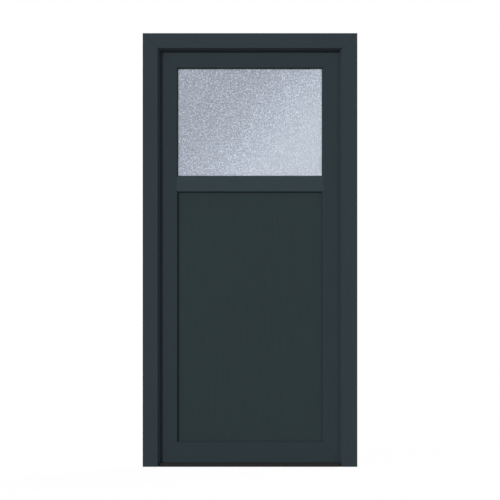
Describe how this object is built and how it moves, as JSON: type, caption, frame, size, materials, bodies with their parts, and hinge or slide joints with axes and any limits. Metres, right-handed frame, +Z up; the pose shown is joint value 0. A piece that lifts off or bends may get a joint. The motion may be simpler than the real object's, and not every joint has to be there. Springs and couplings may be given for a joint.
{
  "type": "pvc door",
  "caption": "Anthracite PVC entrance door in its frame: an inward-opening leaf with a frosted textured light above a mid rail and a plain panel below, on a low sill.",
  "frame": {"origin": "centre of the sill's underside, on the ground, halfway through the frame", "axes": "+Z up, +Y into the house, +X to the right as seen from outside"},
  "size_m": [0.98, 0.115, 1.98],
  "materials": {
    "frame_pvc": "anthracite grained foil, satin",
    "leaf_pvc": "anthracite grained foil, satin",
    "mid_rail_pvc": "anthracite grained foil, satin, a little lighter",
    "panel_pvc": "anthracite grained foil, satin",
    "panel_foam": "foam board",
    "gasket": "matt black",
    "brush": "short pile",
    "textured_glass": "frosted, pebbled outer face",
    "clear_glass": "clear float glass",
    "spacer": "mill finish",
    "sill_bronze": "dark bronze, satin",
    "sill_core": "matt black",
    "hinge_paint": "anthracite powder coat",
    "lock_steel": "brushed, zinc plated",
    "galvanised_steel": "galvanised"
  },
  "bodies": {
    "frame": {"bottom_hinge_frame_plate": "hinge_paint", "bottom_hinge_pin": "hinge_paint", "frame_head": "frame_pvc", "frame_hinge_jamb": "frame_pvc", "frame_lock_jamb": "frame_pvc", "frame_seal": "gasket", "frame_steels": "galvanised_steel", "lower_strike": "lock_steel", "main_strike": "lock_steel", "middle_hinge_frame_plate": "hinge_paint", "middle_hinge_pin": "hinge_paint", "sill_base": "sill_core", "sill_cap": "sill_bronze", "top_hinge_frame_plate": "hinge_paint", "top_hinge_pin": "hinge_paint", "upper_strike": "lock_steel"},
    "leaf": {"bottom_hinge_leaf_plate": "hinge_paint", "leaf_bottom_rail": "leaf_pvc", "leaf_brush": "brush", "leaf_hinge_stile": "leaf_pvc", "leaf_lock_stile": "leaf_pvc", "leaf_mid_rail": "mid_rail_pvc", "leaf_seal": "gasket", "leaf_steels": "galvanised_steel", "leaf_top_rail": "leaf_pvc", "light_bead_bottom": "leaf_pvc", "light_bead_left": "leaf_pvc", "light_bead_right": "leaf_pvc", "light_bead_top": "leaf_pvc", "light_inner_gasket": "gasket", "light_inner_pane": "clear_glass", "light_outer_gasket": "gasket", "light_outer_pane": "textured_glass", "light_spacer": "spacer", "lock_bolts": "lock_steel", "lock_faceplate": "lock_steel", "middle_hinge_leaf_plate": "hinge_paint", "panel_bead_bottom": "leaf_pvc", "panel_bead_left": "leaf_pvc", "panel_bead_right": "leaf_pvc", "panel_bead_top": "leaf_pvc", "panel_core": "panel_foam", "panel_inner_gasket": "gasket", "panel_inner_skin": "panel_pvc", "panel_outer_gasket": "gasket", "panel_outer_skin": "panel_pvc", "top_hinge_leaf_plate": "hinge_paint"}
  },
  "joints": [
    {"name": "leaf_swing", "type": "hinge", "parent": "frame", "child": "leaf", "pos_m": [-0.455, 0.071, 0], "axis": [0, 0, 1], "range_deg": [0, 110]}
  ]
}
